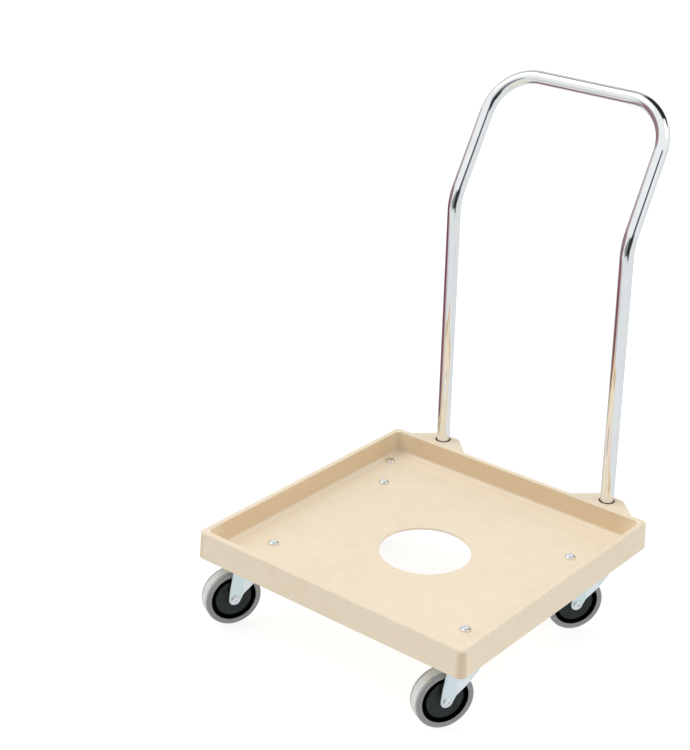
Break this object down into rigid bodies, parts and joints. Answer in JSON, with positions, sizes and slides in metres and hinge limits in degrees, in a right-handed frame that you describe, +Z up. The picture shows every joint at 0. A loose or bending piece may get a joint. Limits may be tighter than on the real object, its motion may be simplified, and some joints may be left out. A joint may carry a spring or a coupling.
{
  "type": "dish_rack_dolly",
  "caption": "Square moulded rack dolly with a drain hole, a bent chromed push handle and swivelling grey-tyred casters",
  "frame": {"origin": "On the ground, below the middle of the whole object's bounding box", "axes": "+Z is up; +Y points to the rear, where the handle stands; +X points to the right of someone who looks from the front to the rear"},
  "size_m": [0.5488, 0.6915, 0.8814],
  "materials": {
    "tray_plastic": "pale cream moulded plastic with a fine mottled grain",
    "handle_chrome": "bright chromed tube",
    "plug_plastic": "black moulded plastic",
    "hub_plastic": "glossy black moulded plastic",
    "tyre_rubber": "mid-grey non-marking tread with a satin sidewall",
    "bush_plastic": "off-white plain bearing",
    "zinc_plate": "bright bluish zinc-plated pressed steel",
    "bare_steel": "bare turned steel",
    "fastener_steel": "bright zinc-plated fasteners"
  },
  "bodies": {
    "base": {"caster_bolt_nuts": "fastener_steel", "caster_bolt_washers": "fastener_steel", "caster_bolts": "fastener_steel", "caster_plate_front_left": "zinc_plate", "caster_plate_front_right": "zinc_plate", "caster_plate_rear_left": "zinc_plate", "caster_plate_rear_right": "zinc_plate", "handle_end_plugs": "plug_plastic", "handle_screw_washers": "fastener_steel", "handle_screws": "fastener_steel", "handle_tube": "handle_chrome", "king_pin_front_left": "bare_steel", "king_pin_front_right": "bare_steel", "king_pin_rear_left": "bare_steel", "king_pin_rear_right": "bare_steel", "swivel_balls_front_left": "bare_steel", "swivel_balls_front_right": "bare_steel", "swivel_balls_rear_left": "bare_steel", "swivel_balls_rear_right": "bare_steel", "tray": "tray_plastic"},
    "swivel_front_left": {"axle_bolt_front_left": "fastener_steel", "axle_nut_front_left": "fastener_steel", "axle_sleeve_front_left": "bare_steel", "fork_front_left": "zinc_plate"},
    "wheel_front_left": {"wheel_bush_front_left": "bush_plastic", "wheel_hub_front_left": "hub_plastic", "wheel_tyre_front_left": "tyre_rubber"},
    "swivel_front_right": {"axle_bolt_front_right": "fastener_steel", "axle_nut_front_right": "fastener_steel", "axle_sleeve_front_right": "bare_steel", "fork_front_right": "zinc_plate"},
    "wheel_front_right": {"wheel_bush_front_right": "bush_plastic", "wheel_hub_front_right": "hub_plastic", "wheel_tyre_front_right": "tyre_rubber"},
    "swivel_rear_left": {"axle_bolt_rear_left": "fastener_steel", "axle_nut_rear_left": "fastener_steel", "axle_sleeve_rear_left": "bare_steel", "fork_rear_left": "zinc_plate"},
    "wheel_rear_left": {"wheel_bush_rear_left": "bush_plastic", "wheel_hub_rear_left": "hub_plastic", "wheel_tyre_rear_left": "tyre_rubber"},
    "swivel_rear_right": {"axle_bolt_rear_right": "fastener_steel", "axle_nut_rear_right": "fastener_steel", "axle_sleeve_rear_right": "bare_steel", "fork_rear_right": "zinc_plate"},
    "wheel_rear_right": {"wheel_bush_rear_right": "bush_plastic", "wheel_hub_rear_right": "hub_plastic", "wheel_tyre_rear_right": "tyre_rubber"}
  },
  "joints": [
    {"name": "swivel_front_left", "type": "hinge", "parent": "base", "child": "swivel_front_left", "pos_m": [-0.2234, -0.26853, 0.116], "axis": [0, 0, 1], "continuous": true},
    {"name": "roll_front_left", "type": "hinge", "parent": "swivel_front_left", "child": "wheel_front_left", "pos_m": [-0.23709, -0.29635, 0.05], "axis": [0.8973, -0.4415, 0], "continuous": true},
    {"name": "swivel_front_right", "type": "hinge", "parent": "base", "child": "swivel_front_right", "pos_m": [0.2234, -0.26853, 0.116], "axis": [0, 0, 1], "continuous": true},
    {"name": "roll_front_right", "type": "hinge", "parent": "swivel_front_right", "child": "wheel_front_right", "pos_m": [0.20894, -0.29595, 0.05], "axis": [0.8846, -0.4664, 0], "continuous": true},
    {"name": "swivel_rear_left", "type": "hinge", "parent": "base", "child": "swivel_rear_left", "pos_m": [-0.2234, 0.11247, 0.116], "axis": [0, 0, 1], "continuous": true},
    {"name": "roll_rear_left", "type": "hinge", "parent": "swivel_rear_left", "child": "wheel_rear_left", "pos_m": [-0.23795, 0.0851, 0.05], "axis": [0.8829, -0.4695, 0], "continuous": true},
    {"name": "swivel_rear_right", "type": "hinge", "parent": "base", "child": "swivel_rear_right", "pos_m": [0.2234, 0.11247, 0.116], "axis": [0, 0, 1], "continuous": true},
    {"name": "roll_rear_right", "type": "hinge", "parent": "swivel_rear_right", "child": "wheel_rear_right", "pos_m": [0.20665, 0.08638, 0.05], "axis": [0.8415, -0.5402, 0], "continuous": true}
  ]
}
